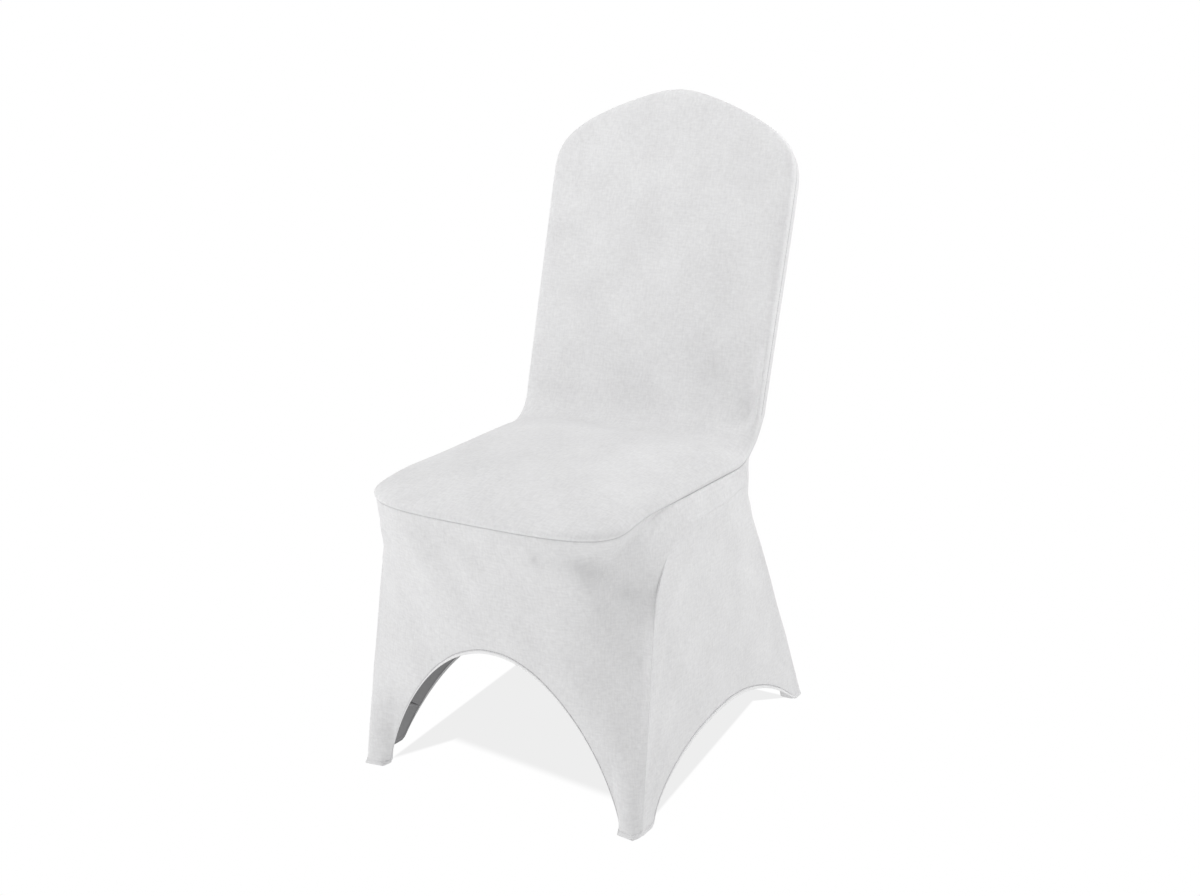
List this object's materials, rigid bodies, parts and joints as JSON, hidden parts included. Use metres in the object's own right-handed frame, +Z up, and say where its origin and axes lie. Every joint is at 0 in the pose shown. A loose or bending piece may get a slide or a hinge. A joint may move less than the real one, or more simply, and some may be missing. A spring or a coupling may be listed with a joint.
{
  "type": "stretch chair cover",
  "caption": "White stretch cover for a crown-back banquet chair, standing in the shape of the chair, with arched hems and foot pockets; it slips over and hides the chair.",
  "frame": {"origin": "on the floor under the middle of the cover's box", "axes": "+Z up from the floor, -Y towards the front of the seat, +X to the right as seen from the front"},
  "size_m": [0.4488, 0.5855, 0.9336],
  "materials": {
    "stretch_cloth": "matte knitted stretch cloth with a faint sheen",
    "pocket_cloth": "matte knitted stretch cloth, doubled at the foot"
  },
  "bodies": {
    "root": {"seat_and_inside_back": "stretch_cloth", "outside_back": "stretch_cloth", "front_skirt": "stretch_cloth", "side_skirt_left": "stretch_cloth", "side_skirt_right": "stretch_cloth", "foot_pocket_front_left": "pocket_cloth", "foot_pocket_front_right": "pocket_cloth", "foot_pocket_rear_left": "pocket_cloth", "foot_pocket_rear_right": "pocket_cloth"}
  },
  "joints": []
}
